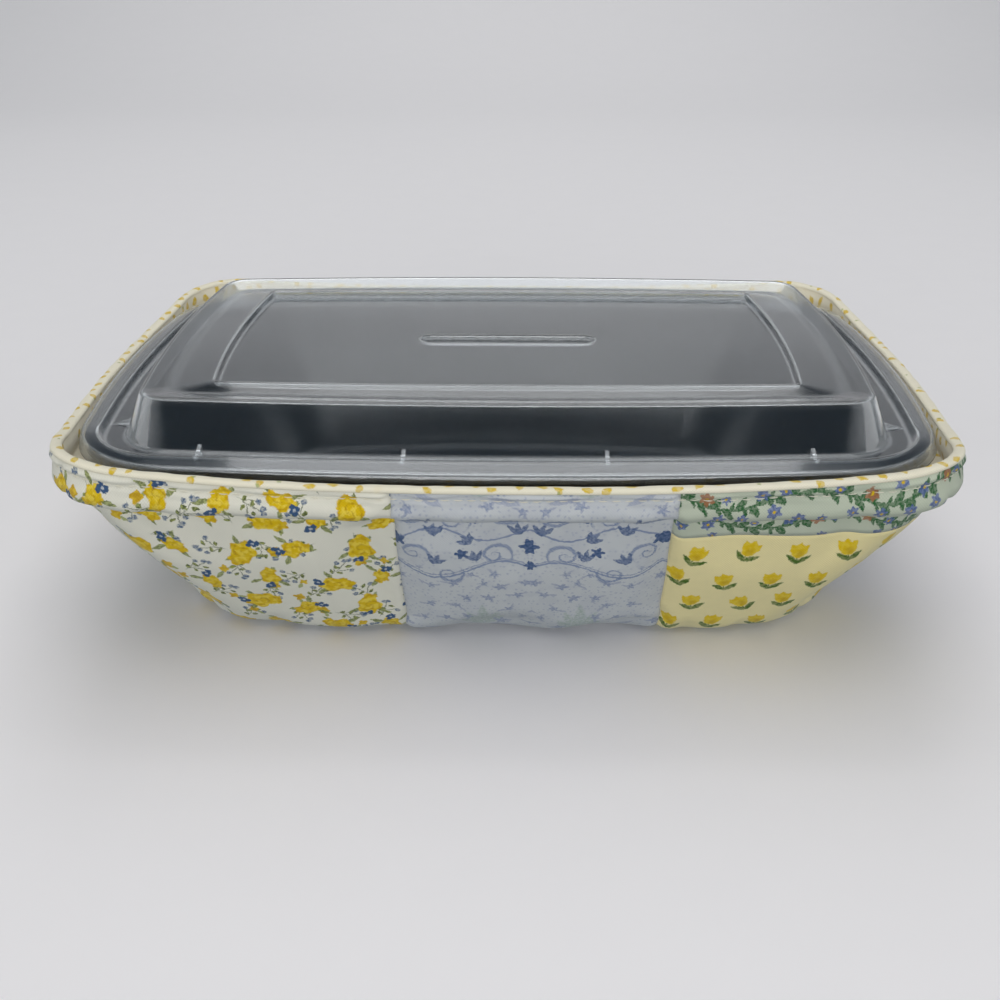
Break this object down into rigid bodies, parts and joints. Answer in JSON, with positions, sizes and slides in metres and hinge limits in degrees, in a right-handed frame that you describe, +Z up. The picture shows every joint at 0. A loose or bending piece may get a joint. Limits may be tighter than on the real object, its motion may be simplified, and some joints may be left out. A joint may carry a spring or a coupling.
{
  "type": "microwave bowl cozy",
  "caption": "Padded patchwork fabric cozy shaped as an open rectangular bowl, holding a black meal tub with a clear domed lid that lift out and off.",
  "frame": {"origin": "middle of the base, on the surface that the cozy stands on", "axes": "+X along the long side to the right, +Y from the front to the back, +Z up"},
  "size_m": [0.233, 0.167, 0.0653],
  "materials": {
    "floral_cotton": "white quilting cotton with small yellow and blue blossoms",
    "scroll_cotton": "pale blue quilting cotton with darker blue scrolls",
    "vine_cotton": "greenish white quilting cotton with green sprigs",
    "tulip_cotton": "pale yellow quilting cotton with yellow flowers in half-drop rows",
    "batting": "white cotton wadding",
    "lining_cotton": "white quilting cotton with small yellow flecks",
    "thread": "white sewing thread",
    "black_plastic": "black moulded polypropylene",
    "clear_plastic": "clear, slightly hazy moulded polypropylene"
  },
  "bodies": {
    "cozy": {"front_floral_patch": "floral_cotton", "front_scroll_patch": "scroll_cotton", "front_vine_patch": "vine_cotton", "front_tulip_patch": "tulip_cotton", "right_front_patch": "scroll_cotton", "right_back_patch": "floral_cotton", "back_right_patch": "tulip_cotton", "back_middle_patch": "vine_cotton", "back_left_patch": "scroll_cotton", "left_back_patch": "tulip_cotton", "left_front_patch": "vine_cotton", "base_left_patch": "tulip_cotton", "base_middle_patch": "floral_cotton", "base_right_patch": "scroll_cotton", "outer_batting": "batting", "lining_batting": "batting", "lining": "lining_cotton", "rim_binding": "lining_cotton", "rim_topstitch": "thread"},
    "container": {"tub": "black_plastic"},
    "cover": {"lid": "clear_plastic"}
  },
  "joints": [
    {"name": "tub_lift", "type": "slide", "parent": "cozy", "child": "container", "axis": [0, 0, 1], "range_m": [0, 0.08]},
    {"name": "lid_lift", "type": "slide", "parent": "container", "child": "cover", "axis": [0, 0, 1], "range_m": [0, 0.05]}
  ]
}
